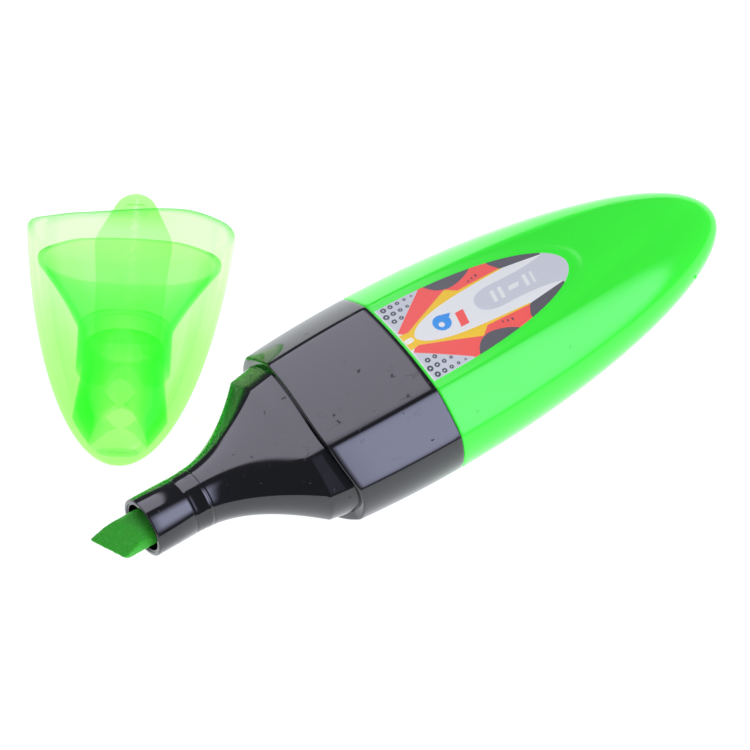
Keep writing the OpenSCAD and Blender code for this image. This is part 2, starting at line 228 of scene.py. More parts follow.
CAP_PLACE = (
    Matrix.Translation((CAP_POS_X, CAP_POS_Y, clip_face(0) * math.cos(math.radians(CAP_TILT))))
    @ Matrix.Rotation(math.radians(CAP_YAW), 4, "Z")
    @ Matrix.Rotation(math.radians(-CAP_TILT), 4, "Y")
    @ Matrix.Rotation(math.pi, 4, "X")
)


# ---- Meshes ----

def mesh_object(name, points, faces, place=None):
    """An object from points in millimetres, with its faces turned outwards."""
    mesh = bpy.data.meshes.new(name)
    mesh.from_pydata([tuple(p) for p in np.asarray(points, float)], [], faces)
    bm = bmesh.new()
    bm.from_mesh(mesh)
    bmesh.ops.recalc_face_normals(bm, faces=bm.faces)
    bm.to_mesh(mesh)
    bm.free()
    if place is not None:
        mesh.transform(place)
    mesh.transform(Matrix.Scale(MM, 4))
    obj = bpy.data.objects.new(name, mesh)
    bpy.context.scene.collection.objects.link(obj)
    return obj


def loft(name, rings, place=None, joined=False):
    """A closed mesh through rings. Its ends are fans, or it runs round to its first ring."""
    count, size = len(rings), len(rings[0])
    points = list(np.vstack(rings))
    faces = []
    for i in range(count if joined else count - 1):
        a, b = i * size, (i + 1) % count * size
        faces += [(a + k, a + (k + 1) % size, b + (k + 1) % size, b + k) for k in range(size)]
    if not joined:
        for base, ring in ((0, rings[0]), ((count - 1) * size, rings[-1])):
            points.append(np.mean(ring, axis=0))
            hub = len(points) - 1
            faces += [(base + k, base + (k + 1) % size, hub) for k in range(size)]
    return mesh_object(name, points, faces, place)


def combine(obj, other, operation):
    """obj with other added, cut off or kept in common; other is used up."""
    change = obj.modifiers.new("combine", "BOOLEAN")
    change.object, change.operation, change.solver = other, operation, "MANIFOLD"
    apply_modifiers(obj)
    used = other.data
    bpy.data.objects.remove(other)
    bpy.data.meshes.remove(used)
    return obj


def apply_modifiers(obj):
    """Puts the mesh that the modifiers make in the place of the object's own."""
    bpy.context.view_layer.update()
    evaluated = obj.evaluated_get(bpy.context.evaluated_depsgraph_get())
    shaped = bpy.data.meshes.new_from_object(evaluated)
    old = obj.data
    obj.modifiers.clear()
    obj.data = shaped
    bpy.data.meshes.remove(old)


def shade(obj, material, crease_angle=35):
    """Gives the object its material and smooth faces, with creases above an angle in degrees."""
    obj.data.materials.clear()
    obj.data.materials.append(material)
    obj.data.shade_smooth()
    obj.data.set_sharp_from_angle(angle=math.radians(crease_angle))
    return obj


def rod(name, x0, x1, r0, r1=None, place=None):
    """A round bar along X, which tapers if it has a second radius."""
    return loft(name, [round_ring(x0, r0), round_ring(x1, r0 if r1 is None else r1)], place)


def install(obj, node, body):
    """Lets a piece ride on its body and take its CAD node's place."""
    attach(obj, body)
    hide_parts(node)
    return obj


# ---- Materials ----

class Nodes:
    """A node tree, with a short way to add a node and feed its sockets."""

    def __init__(self, tree):
        self.tree = tree

    def add(self, kind, settings=None, **feeds):
        node = self.tree.nodes.new(kind)
        for key, value in (settings or {}).items():
            setattr(node, key, value)
        for key, value in feeds.items():
            self.feed(node.inputs[key.replace("_", " ")], value)
        return node

    def feed(self, socket, value):
        if isinstance(value, bpy.types.NodeSocket):
            self.tree.links.new(value, socket)
        elif socket.type == "RGBA" and len(value) == 3:
            socket.default_value = (*value, 1)
        else:
            socket.default_value = value

    def span(self, value, low, high, to_low, to_high, kind="LINEAR"):
        """The value, with the span from low to high mapped to that from to_low to to_high."""
        node = self.add("ShaderNodeMapRange", {"interpolation_type": kind}, Value=value,
                        From_Min=low, From_Max=high, To_Min=to_low, To_Max=to_high)
        return node.outputs["Result"]

    def maths(self, operation, a, b=0.0):
        node = self.add("ShaderNodeMath", {"operation": operation})
        self.feed(node.inputs[0], a)
        self.feed(node.inputs[1], b)
        return node.outputs[0]

    def mix_shader(self, factor, a, b):
        node = self.add("ShaderNodeMixShader")
        for socket, value in zip(node.inputs, (factor, a, b)):
            self.feed(socket, value)
        return node.outputs["Shader"]


class MaterialNodes(Nodes):
    """The nodes of a new material, with its own patterns and its output."""

    def __init__(self, name):
        self.material = bpy.data.materials.new(name)
        self.material.use_nodes = True
        super().__init__(self.material.node_tree)
        self.tree.nodes.clear()

    def places(self, scale):
        """The point in millimetres times scale, the same on every piece of the object."""
        here = self.add("ShaderNodeTexCoord").outputs["Object"]
        mapping = self.add("ShaderNodeMapping", Vector=here)
        mapping.inputs["Scale"].default_value = tuple(s / MM for s in scale)
        return mapping.outputs["Vector"]

    def pattern(self, scale, detail=2.0, roughness=0.5):
        """Noise of that scale along X, Y and Z."""
        node = self.add("ShaderNodeTexNoise", Vector=self.places(scale), Scale=1,
                        Detail=detail, Roughness=roughness)
        return node.outputs["Fac"]

    def noise(self, scale, detail=2.0, roughness=0.5):
        return self.pattern((scale,) * 3, detail, roughness)

    def mix_colour(self, factor, a, b):
        node = self.add("ShaderNodeMix", {"data_type": "RGBA"})
        self.feed(node.inputs["Factor"], factor)
        self.feed(node.inputs[6], a)
        self.feed(node.inputs[7], b)
        return node.outputs[2]

    def bump(self, height, depth_mm, strength=1.0, normal=None):
        node = self.add("ShaderNodeBump", Height=height, Distance=depth_mm * MM, Strength=strength)
        if normal is not None:
            self.feed(node.inputs["Normal"], normal)
        return node.outputs["Normal"]

    def principled(self, **feeds):
        return self.add("ShaderNodeBsdfPrincipled", **feeds).outputs["BSDF"]

    def done(self, shader, volume=None):
        output = self.add("ShaderNodeOutputMaterial", Surface=shader)
        if volume is not None:
            self.feed(output.inputs["Volume"], volume)
        return self.material


def pits(m, scale, share, size):
    """1 in small ragged specks scattered over the surface, 0 elsewhere."""
    here = m.places((scale,) * 3)
    cells = m.add("ShaderNodeTexVoronoi", {"feature": "F1"}, Vector=here, Scale=1)
    lot = m.add("ShaderNodeSeparateColor", Color=cells.outputs["Color"])
    chosen = m.span(lot.outputs["Red"], share, share + 0.02, 1, 0)
    reach = m.span(lot.outputs["Green"], 0, 1, size * 0.35, size)
    wobble = m.span(m.noise(scale * 5, 3), 0.25, 0.75, -0.2, 0.2)
    ragged = m.maths("ADD", cells.outputs["Distance"], wobble)
    inside = m.span(m.maths("SUBTRACT", reach, ragged), -0.03, 0.03, 0, 1)
    return m.maths("MULTIPLY", inside, chosen)


def scratches(m):
    """1 along a few thin crooked scratches, 0 elsewhere."""
    swirl = m.pattern((0.10, 0.34, 0.34), 3)
    away = m.maths("ABSOLUTE", m.maths("SUBTRACT", swirl, 0.5))
    line = m.span(away, 0, 0.004, 1, 0)
    return m.maths("MULTIPLY", line, m.span(m.noise(0.4, 1), 0.56, 0.62, 0, 1))


def black_plastic():
    m = MaterialNodes("black_plastic")
    specks = pits(m, 0.6, 0.13, 0.12)
    dust = pits(m, 1.5, 0.08, 0.2)
    scuffs = scratches(m)
    colour = m.mix_colour(specks, (0.005, 0.005, 0.007), (0.002, 0.002, 0.003))
    colour = m.mix_colour(dust, colour, (0.035, 0.035, 0.04))
    rough = m.span(m.noise(0.35, 3), 0.3, 0.7, 0.06, 0.11)
    rough = m.maths("ADD", rough, m.maths("MULTIPLY", specks, 0.35))
    rough = m.maths("ADD", rough, m.maths("MULTIPLY", scuffs, 0.2))
    skin = m.bump(m.noise(0.22, 1), 0.01, 0.4)
    skin = m.bump(specks, -0.05, 0.8, skin)
    skin = m.bump(scuffs, -0.01, 0.5, skin)
    return m.done(m.principled(Base_Color=colour, Roughness=rough, Normal=skin, IOR=1.52))


def green_plastic():
    m = MaterialNodes("green_plastic")
    colour = m.mix_colour(m.noise(0.09, 3), (0.04, 0.66, 0.043), (0.048, 0.72, 0.051))
    dust = pits(m, 0.5, 0.07, 0.12)
    colour = m.mix_colour(m.maths("MULTIPLY", dust, 0.5), colour, (0.02, 0.4, 0.02))
    rough = m.span(m.noise(0.6, 3), 0.3, 0.7, 0.1, 0.16)
    skin = m.bump(m.noise(0.25, 1), 0.01, 0.4)
    return m.done(m.principled(
        Base_Color=colour, Roughness=rough, Normal=skin, IOR=1.36,
        # The green also glows steadily: painted light, standing in for the plastic's fluorescence.
        Emission_Color=(0.03, 0.8, 0.03), Emission_Strength=0.3,
        Subsurface_Weight=0.2, Subsurface_Radius=(0.4, 1.0, 0.4), Subsurface_Scale=2 * MM))


WHITE = (1, 1, 1)
EDGE_TINT, LIP_TINT, LIP_SHARE = (0.2, 0.7, 0.35), (0.2, 0.6, 0.3), 0.9


def tinted(m, thin, thick, line):
    """The tint of one clear surface, from thin to thick with 'depth', and darker edges and lips."""
    depth, outer, lip = (m.add("ShaderNodeAttribute", {"attribute_name": name}).outputs["Fac"]
                         for name in ("depth", "outer", "lip"))
    cloud = m.span(m.noise(0.1, 2), 0.3, 0.7, -0.1, 0.1)
    facing = m.add("ShaderNodeLayerWeight").outputs["Facing"]
    edge = m.span(m.maths("POWER", facing, 6.0), 0.35, 1, 0, line)
    tint = m.mix_colour(m.maths("ADD", depth, cloud), thin, thick)
    tint = m.mix_colour(outer, WHITE, m.mix_colour(edge, tint, EDGE_TINT))
    tint = m.mix_colour(m.maths("MULTIPLY", lip, LIP_SHARE), tint, LIP_TINT)
    return m.add("ShaderNodeBsdfTransparent", Color=tint).outputs["BSDF"]


def clear_green(name, thin, thick, line, milk, gloss, soak=None):
    """Clear fluorescent plastic.

    thin, thick and line are its tint; milk is its share of scattering and of a steady green glow,
    which is painted light standing in for fluorescence; gloss is the share of a reflection that grows
    towards grazing angles; soak is a colour and density of absorption inside.
    """
    m = MaterialNodes(name)
    skin = m.bump(m.noise(0.3, 2), 0.02, 0.4)
    # Milky scattering with a steady green glow: painted light standing in for fluorescence.
    body = m.principled(Base_Color=(0.08, 0.6, 0.05), Roughness=0.25, Normal=skin, IOR=1.5,
                        Emission_Color=(0.12, 1.0, 0.08), Emission_Strength=0.6)
    cloud_and_glow_share = m.span(m.noise(0.15, 3), 0.3, 0.7, milk * 0.7, milk * 1.3)
    shader = m.mix_shader(cloud_and_glow_share, tinted(m, thin, thick, line), body)
    shine = m.add("ShaderNodeBsdfGlossy", Color=WHITE, Roughness=0.06, Normal=skin).outputs["BSDF"]
    fresnel = m.add("ShaderNodeFresnel", IOR=1.45).outputs["Fac"]
    shader = m.mix_shader(m.maths("MULTIPLY", fresnel, gloss), shader, shine)
    if soak is None:
        return m.done(shader)
    colour, density = soak
    inside = m.add("ShaderNodeVolumeAbsorption", Color=colour, Density=density)
    return m.done(shader, inside.outputs["Volume"])


def felt():
    m = MaterialNodes("felt")
    grain = m.noise(5.0, 4, 0.65)
    fleck = m.noise(11.0, 2, 0.6)
    colour = m.mix_colour(grain, (0.008, 0.2, 0.004), (0.03, 0.5, 0.015))
    colour = m.mix_colour(m.span(fleck, 0.6, 0.7, 0, 0.6), colour, (0.3, 0.9, 0.2))
    skin = m.bump(grain, 0.08, 0.9)
    skin = m.bump(fleck, 0.03, 0.6, skin)
    return m.done(m.principled(
        Base_Color=colour, Roughness=0.6, Normal=skin, Specular_IOR_Level=0.25,
        # The felt also glows faintly green: painted light.
        Emission_Color=(0.01, 0.12, 0.005), Emission_Strength=0.2))


def fibre():
    m = MaterialNodes("fibre")
    strands = m.pattern((0.4, 6, 6))
    colour = m.mix_colour(strands, (0.05, 0.45, 0.03), (0.15, 0.75, 0.08))
    return m.done(m.principled(Base_Color=colour, Roughness=0.7, Normal=m.bump(strands, 0.05)))


def clear_film():
    m = MaterialNodes("clear_film")
    rough = m.span(m.noise(0.8, 2), 0.3, 0.7, 0.1, 0.2)
    return m.done(m.principled(Base_Color=(0.85, 0.9, 0.88), Roughness=rough, Alpha=0.5))


def printed_film():
    m = MaterialNodes("printed_film")
    ink = m.add("ShaderNodeAttribute", {"attribute_name": "ink"}).outputs["Color"]
    colour = m.mix_colour(m.span(m.noise(9.0, 2), 0.3, 0.7, 0.95, 1.0), (0.4, 0.4, 0.42), ink)
    rough = m.span(m.noise(1.2, 3), 0.3, 0.7, 0.3, 0.42)
    skin = m.bump(m.noise(0.8, 2), 0.01, 0.3)
    # The inks also glow in their own colours: painted light that brightens the label.
    return m.done(m.principled(Base_Color=colour, Roughness=rough, Normal=skin, IOR=1.35,
                               Emission_Color=colour, Emission_Strength=0.22))


def floor_paper():
    """White paper, which the object sees brighter and cooler than the camera does."""
    seen_glow, thrown_glow, thrown_tone = 0.92, 1.7, (0.93, 0.96, 1.0)
    m = MaterialNodes("floor_paper")
    tone = m.span(m.noise(0.02, 3), 0.3, 0.7, 0.44, 0.46)
    colour = m.add("ShaderNodeCombineColor", Red=tone, Green=tone, Blue=tone).outputs["Color"]
    shown = m.add("ShaderNodeLightPath").outputs["Is Camera Ray"]
    return m.done(m.principled(Base_Color=colour, Roughness=0.95, Specular_IOR_Level=0.1,
                               Emission_Color=m.mix_colour(shown, thrown_tone, WHITE),
                               Emission_Strength=m.span(shown, 0, 1, thrown_glow, seen_glow)))


# ---- Barrel ----
FIELD_LEN, FIELD_W, FIELD_DEPTH = 29.0, 16.6, 0.10          # the shallow field that holds the label
FIELD_POWER, FIELD_SLOPE = 2.3, 0.9                         # its outline's roundness, its edge
GATE_X, GATE_R, GATE_END_R, GATE_OUT = 44.8, 0.4, 0.25, 0.15    # the moulding gate's stub


def in_field(x, y):
    """1 well inside the label's field, 0 outside it."""
    u = np.clip((x - JOINT_X) / FIELD_LEN, 0, 1)
    v = np.clip(2 * np.abs(y) / FIELD_W, 0, 1)
    side = FIELD_W / 2 * np.sqrt(1 - u ** FIELD_POWER)
    rear = JOINT_X + FIELD_LEN * (1 - v ** 2) ** (1 / FIELD_POWER)
    return smooth((side - np.abs(y)) / FIELD_SLOPE) * smooth((rear - x) / FIELD_SLOPE)


def sunk(ring):
    """The ring with the label's field sunk into its top."""
    ring = ring.copy()
    ring[:, 2] -= FIELD_DEPTH * in_field(ring[:, 0], ring[:, 1]) * (ring[:, 2] > 0)
    return ring


def flattened(ring):
    """The ring with the resting flat taken off its lowest facet."""
    ring = ring.copy()
    ring[:, 2] = np.maximum(ring[:, 2], -AXIS_Z)
    return ring


def barrel(material):
    edge = 0.28                   # the front edge's rounding
    inner = [body_ring(x, WALL) for x in reversed(stations(JOINT_X, TAIL - 6, TAIL, 20))]
    front = [body_ring(JOINT_X + edge * ahead, edge * back) for ahead, back in rounding()]
    outer = [body_ring(x) for x in stations(JOINT_X + edge, TAIL * 0.99999, TAIL, 150)[1:]]
    rings = inner + [flattened(sunk(r)) for r in front + outer]
    shell = loft("barrel_shell", rings, PEN_PLACE)
    side = PEN_PLACE @ Matrix.Translation((GATE_X, -HALF_W * float(outline(GATE_X)), 0))
    side = side @ Matrix.Rotation(math.radians(-90), 4, "Z")
    combine(shell, rod("gate", -0.7, GATE_OUT, GATE_R, GATE_END_R, side), "UNION")
    return shade(shell, material)


# ---- Front section ----

def slot_ring(x, grow=0.06):
    """The nib's cross-section, a rectangle with round corners, grown a little for its slot."""
    far = 1e9
    half_y, half_z, r = NIB_W / 2 + grow, NIB_T / 2 + grow, NIB_CORNER
    c, s = np.cos(AROUND), np.sin(AROUND)
    reach = np.zeros(N)
    for i in range(N):
        dy, dz = abs(c[i]), abs(s[i])
        t = min(half_y / dy if dy > 1 / far else far, half_z / dz if dz > 1 / far else far)
        cy, cz = half_y - r, half_z - r
        if t * dy > cy and t * dz > cz:         # on the round corner
            mid = dy * cy + dz * cz
            t = mid + math.sqrt(max(0, mid * mid - cy * cy - cz * cz + r * r))
        reach[i] = t
    return np.stack([np.full(N, float(x)), reach * c, reach * s], 1)


def plug_ring(x):
    """The plug's straight part at x, which is one number for each point."""
    back_x = LEDGE_X + 2
    share = ((x - PLUG_X) / (back_x - PLUG_X))[:, None]
    front = body_ring(PLUG_X, PLUG_INSET + PLUG_TAPER)
    ring = front * (1 - share) + body_ring(back_x, PLUG_INSET) * share
    ring[:, 0] = x
    return ring


def front_section(material):
    """One closed loop of rings: out of the mouth, back along the outside, and forward inside."""
    lip, edge, seam = 0.22, 0.3, 0.2                # roundings of the nozzle, the ledge and the joint
    ring_x, groove_x, groove_depth = -33.7, -30.9, 0.07
    inside = 2 * WALL + SPIGOT_GAP
    spigot = WALL + SPIGOT_GAP
    socket_r, socket_wall, socket_len, socket_floor = RESERVOIR_R + FILM_T + 0.05, 1, 7, 1.6
    rings = [slot_ring(NOZZLE_X + 6), slot_ring(NOZZLE_X + MOUTH_DEPTH)]
    rings += [round_ring(NOZZLE_X + MOUTH_DEPTH, MOUTH_R), round_ring(NOZZLE_X + lip, MOUTH_R)]
    rings += [round_ring(NOZZLE_X + lip * (1 - back), MOUTH_R + lip * (1 - ahead))
              for ahead, back in reversed(rounding(4))][1:]
    rings += [round_ring(NOZZLE_X + lip * ahead, NOZZLE_R - lip * back)
              for ahead, back in rounding(4)]
    steps = ((-0.1, 0), (-0.03, 0.03), (0, 0.1), (0.04, 0.2), (0.2, 0.2), (0.28, 0.12), (0.4, 0.1))
    rings += [round_ring(ring_x + ahead, NOZZLE_R - drop) for ahead, drop in steps]
    rings.append(round_ring(NECK_X, NOZZLE_R - 0.08))
    groove = [groove_x + 0.08 * k for k in (-2, -1, 0, 1, 2)]
    for x in sorted(set(np.linspace(NECK_X + 0.1, PLUG_X, 64)) | set(groove)):
        rings.append(neck_ring(x, -groove_depth if abs(x - groove_x) < 0.1 else 0))
    plug_back = LEDGE_X + LEDGE_SHIFT
    rings += [plug_ring(PLUG_X + (plug_back - 0.1 - PLUG_X) * s) for s in (0.1, 0.35, 0.7, 1)]
    corner = plug_ring(plug_back)
    face = ledge_ring(edge)
    rings += [corner * 0.97 + face * 0.03, corner * 0.5 + face * 0.5]
    rings += [ledge_ring(edge * back, edge * ahead) for ahead, back in rounding()]
    for s in np.linspace(0, 1, 26)[1:]:
        start = LEDGE_X + edge
        x = start + (JOINT_X - seam - start) * s + LEDGE_SHIFT * (1 - s) ** 2
        rings.append(body_ring(x))
    rings += [body_ring(JOINT_X - seam * back, seam * ahead) for ahead, back in rounding(4)][1:]
    rings += [body_ring(JOINT_X, spigot), body_ring(JOINT_X + SPIGOT_LEN - 0.6, spigot),
              body_ring(JOINT_X + SPIGOT_LEN, spigot + 0.4), body_ring(JOINT_X + SPIGOT_LEN, inside)]
    rings += [body_ring(x, inside) for x in (6, 2, -2, -6, RESERVOIR_X + socket_floor)]
    rings += [round_ring(RESERVOIR_X + socket_floor, socket_r + socket_wall),
              round_ring(RESERVOIR_X + socket_len, socket_r + socket_wall),
              round_ring(RESERVOIR_X + socket_len, socket_r), round_ring(RESERVOIR_X, socket_r),
              slot_ring(RESERVOIR_X)]
    rings = [flattened(r) for r in rings]
    return shade(loft("front_shell", rings, PEN_PLACE, joined=True), material, 50)


# ---- Nib ----

def nib(material):
    """The felt chisel, cut by a wedge, then remeshed so that its edges soften like felt."""
    voxel, softening, grain = 0.13, 26, 0.07
    body = loft("nib_felt", [slot_ring(x, 0) for x in np.linspace(NIB_X - 1, NIB_REAR_X, 12)])
    rise, length = NIB_T * 2, NIB_REAR_X - NIB_X
    profile = [(0, 0), (rise / math.tan(math.radians(NIB_BEVEL)), rise), (2 * length, rise),
               (2 * length, -rise), (rise / math.tan(math.radians(UNDER_BEVEL)), -rise)]
    size = len(profile)
    points = [(x, y, z) for y in (-length, length) for x, z in profile]
    faces = [tuple(range(size)), tuple(range(2 * size - 1, size - 1, -1))]
    faces += [(k, (k + 1) % size, size + (k + 1) % size, size + k) for k in range(size)]
    edge_mid = NIB_X + NIB_W / 2 * math.tan(math.radians(NIB_SLANT))
    wedge_place = Matrix.Translation((edge_mid, 0, -EDGE_DROP))
    wedge_place = wedge_place @ Matrix.Rotation(math.radians(NIB_SLANT), 4, "Z")
    combine(body, mesh_object("wedge", points, faces, wedge_place), "INTERSECT")
    remesh = body.modifiers.new("remesh", "REMESH")
    remesh.mode, remesh.voxel_size = "VOXEL", voxel * MM
    soften = body.modifiers.new("soften", "SMOOTH")
    soften.factor, soften.iterations = 0.5, softening
    apply_modifiers(body)
    mesh = body.data
    for vertex, normal in zip(mesh.vertices, [v.normal.copy() for v in mesh.vertices]):
        here = Vector(vertex.co) / MM
        rough = noise.noise(here * 2.6) * 0.6 + noise.noise(here * 6.1) * 0.4
        vertex.co = Vector(vertex.co) + normal * rough * grain * MM
    mesh.transform(Matrix.Translation(Vector((0, 0, AXIS_Z)) * MM))
    return shade(body, material, 180)


# ---- Label ----
INK = {
    "paper": srgb(236, 238, 243), "grey": srgb(206, 209, 221), "dark": srgb(84, 84, 92),
    "red": srgb(250, 92, 88), "yellow": srgb(250, 204, 40), "blue": srgb(52, 150, 238),
    "dot": srgb(52, 56, 72), "margin": srgb(250, 250, 252),
}
SOFT = 0.05                     # how far an ink's edge blurs


def label_side(u):
    """Half the label's width at u, its distance from the label's straight front end."""
    return LABEL_W / 2 * np.sqrt(np.maximum(0, 1 - (u / LABEL_LEN) ** 2.2))


class Print:
    """Inks laid over each other on the label, in millimetres from its front end and its middle."""

    def __init__(self, u, v):
        self.u, self.v = u, v
        self.colour = np.tile(np.array(INK["paper"]), (len(u), 1))

    def lay(self, ink, mask):
        self.colour += (np.array(INK[ink]) - self.colour) * np.clip(mask, 0, 1)[:, None]

    def patch(self, ink, corners, both=True):
        """A patch with straight sides; both lays it on both sides of the middle."""
        v = np.abs(self.v) if both else self.v
        p = np.stack([self.u, v], 1)
        corners = np.array(corners, float)
        near = np.full(len(p), 1e9)
        odd = np.zeros(len(p), bool)
        for a, b in zip(corners, np.roll(corners, -1, axis=0)):
            along = b - a
            if not along.any():                 # a point given twice
                continue
            t = np.clip(((p - a) @ along) / (along @ along), 0, 1)
            near = np.minimum(near, np.linalg.norm(p - a - t[:, None] * along, axis=1))
            crosses = (a[1] > p[:, 1]) != (b[1] > p[:, 1])
            with np.errstate(divide="ignore", invalid="ignore"):
                odd ^= crosses & (p[:, 0] < (b[0] - a[0]) * (p[:, 1] - a[1]) / (b[1] - a[1]) + a[0])
        self.lay(ink, 0.5 + np.where(odd, near, -near) / SOFT)

    def disc(self, ink, u, v, r, both=True, stretch=1.0):
        across = np.abs(self.v) if both else self.v
        far = np.hypot(self.u - u, (across - v) / stretch)
        self.lay(ink, 0.5 + (r - far) / SOFT)


def arc(start, middle, end, steps=8):
    """Points on a smooth bend from start to end that is pulled towards middle."""
    a, m, b = (np.array(p, float) for p in (start, middle, end))
    shares = np.linspace(0, 1, steps)
    return [tuple(a * (1 - t) ** 2 + m * 2 * t * (1 - t) + b * t * t) for t in shares]


def bend(*ends):
    """Two arcs that run on into each other, given as start, middle, joint, middle and end."""
    return arc(*ends[:3]) + arc(*ends[2:])


def draw_label(u, v):
    """Grey corners with dots, a red and yellow border, a pale shield with a grey pill, and a sign."""
    art = Print(u, v)
    outer = 7.6                                 # past the label's edge
    art.patch("grey", [(0, outer), (7.2, outer), (6.7, 6.6), (0.2, 1.9)])
    dot_step, row_step = 1.13, 1.25
    for row, (start, count, smaller) in enumerate(((1.0, 5, 0), (0.65, 4, 0), (1.1, 2, 0.03))):
        for i in range(count):
            place, side = start + dot_step * i, 6.4 - row_step * row
            r = 0.48 - 0.055 * place - smaller
            art.disc("dot", place, side, r)
            art.disc("paper", place, side, r * 0.3)
    art.patch("red", [(0.2, 1.9), (6.7, 6.6), (7.2, outer), (17.2, outer),
                      (18.1, 3.2), (10, 2.6), (1.2, 0.9)])
    art.patch("yellow", [(-1, -1), (-1, 1.4), (0.3, 1.45), (1.5, 1.25), (9.7, 4.65), (11.1, 3.5),
                         (18.1, 3.62), (18.1, -1)])
    art.patch("paper", bend((1.75, 0), (2.2, 1.5), (5.6, 2.3), (8.5, 3.1), (18, 3.4))
              + [(18, 3.4), (18.2, 3.5), (24, 2.9), (24, -1), (1.75, -1)])
    art.patch("margin", bend((0.15, 0), (0.1, 0.42), (0.7, 0.42), (1.6, 0.4), (1.45, 0)))
    art.patch("dark", bend((7.4, 7.4), (8.4, 4.4), (11, 4.55), (13.0, 4.8), (14.6, 5.9))
              + [(14.6, outer), (7.4, outer)])
    art.patch("dark", [(16.9, outer), (17.1, 5.0), (17.9, 3.62), (18.2, 3.5),
                       (24.6, 2.6), (24.6, outer)])
    for place, height in ((13.2, 0.12), (13.9, 0.3), (14.6, 0.42)):
        art.disc("dot", place, 3.95 + height, 0.13, stretch=1 + 3 * height)
    art.patch("grey", arc((11.6, 0), (11.7, 1.9), (15, 1.95), 12)
              + arc((15, 1.95), (20.5, 1.7), (24, 2.6))
              + [(24, 2.6), (24.5, 5), (27, 5), (27, -1), (11.6, -1)])
    lean = 0.18                                 # of the plain bars on the pill
    for start, width, reach in ((14.3, 0.55, 0.95), (15.5, 0.55, 0.95), (17.0, 1.6, 0.35),
                                (19.5, 0.55, 0.95), (20.7, 0.3, 0.95)):
        end = start + width
        art.patch("paper", [(start - lean, -reach), (end - lean, -reach),
                            (end + lean, reach), (start + lean, reach)], both=False)
    art.disc("blue", 6.2, 0.1, 1.3, both=False)         # an ink drop and the stroke it leaves
    art.patch("blue", [(5.9, -1.15), (6.3, 1.4), (8.1, 0.9)], both=False)
    art.disc("paper", 6.0, -0.15, 0.42, both=False)
    art.patch("red", [(8.0, -1.9), (9.3, -1.9), (9.85, 0.5), (8.55, 0.5)], both=False)
    art.lay("margin", (0.1 - u) / SOFT + 0.5)
    return art.colour


def facet_top(x, y):
    """Height of the barrel's top facet above the pen's axis."""
    ring = body_ring(x)
    upper = ring[ring[:, 2] > 0.3 * HALF_T * outline(x)]
    upper = upper[np.argsort(upper[:, 1])]
    return np.interp(y, upper[:, 1], upper[:, 2])


def label(material):
    """The label's film, a fine grid whose points carry the inks."""
    across, straight, curved = 156, 270, 22     # cells over its width, its length and its round end
    sheet, sink = 0.07, 0.02                    # it lies in its field, a hair below the barrel
    turn = 0.96                                 # where its cells start to crowd, as a share
    shares = [np.linspace(0, turn, straight, endpoint=False),
              1 - (1 - turn) * np.linspace(1, 0.01, curved + 1) ** 2]
    along = straight + curved
    rows = []
    for u in LABEL_LEN * np.concatenate(shares):
        v = label_side(u) * np.linspace(-1, 1, across + 1)
        x = LABEL_X + u
        rows.append(np.stack([np.full(across + 1, x), v, facet_top(x, v)], 1))
    top = np.array(rows)
    top[:, :, 2] += sheet - FIELD_DEPTH
    under = top.copy()
    under[:, :, 2] -= sheet + sink
    wide = across + 1
    count = (along + 1) * wide
    points = np.vstack([top.reshape(-1, 3), under.reshape(-1, 3)])
    cell = [(i * wide + k, i * wide + k + 1, (i + 1) * wide + k + 1, (i + 1) * wide + k)
            for i in range(along) for k in range(across)]
    faces = cell + [tuple(count + c for c in reversed(f)) for f in cell]
    rim = list(range(wide)) + [i * wide + across for i in range(1, along + 1)]
    rim += [along * wide + k for k in range(across - 1, -1, -1)]
    rim += [i * wide for i in range(along - 1, 0, -1)]
    faces += [(b, a, count + a, count + b) for a, b in zip(rim, rim[1:] + rim[:1])]
    obj = mesh_object("label_film", points, faces, PEN_PLACE)
    ink = draw_label(points[:, 0] - LABEL_X, points[:, 1])
    layer = obj.data.color_attributes.new("ink", "FLOAT_COLOR", "POINT")
    layer.data.foreach_set("color", np.column_stack([ink, np.ones(len(ink))]).ravel())
    return shade(obj, material)


# ---- Cap ----

LIP_POWER, LIP_FADE = 3.5, 0.6      # how closely a lip faces the mouth, and where it fades downwards


def set_depth(obj, rule, both=False):
    """Writes how the plastic's tint varies: its depth, from a rule of the place in the cap, which
    surfaces carry it (those that face away from the cap's axis, or both) and where its lips are.
    """
    back = CAP_PLACE.inverted()
    turn = back.to_3x3()
    depth, outer, lip = [], [], []
    for vertex in obj.data.vertices:
        place, way = back @ (Vector(vertex.co) / MM), turn @ vertex.normal
        depth.append(float(rule(place)))
        outer.append(float(both or way.y * place.y + way.z * place.z > 0 or way.x < -0.7))
        lip.append(max(0.0, way.x) ** LIP_POWER * float(smooth(LIP_FADE - place.z / HALF_T)))
    for name, values in (("depth", depth), ("outer", outer), ("lip", lip)):
        layer = obj.data.attributes.new(name, "FLOAT", "POINT")
        layer.data.foreach_set("value", values)


CAP_RIM = LEDGE_X + cap_line(body_ring(LEDGE_X, 0, CAP)[:, 1]) - LEDGE_GAP
NOSE_STOP_X = -NOSE + 1.7
SLEEVE_R = SLEEVE_BORE_R + SLEEVE_WALL


def cap_hollow(name, inset=0.0):
    """The room inside the cap's wall, made smaller by inset; it runs on past the rim."""
    xs = stations(NOSE_STOP_X, LEDGE_X - 1.2, NOSE, 60) + [LEDGE_X + 0.2, LEDGE_X + 3]
    return loft(name, [body_ring(x, CAP_WALL + inset, CAP) for x in xs], CAP_PLACE)


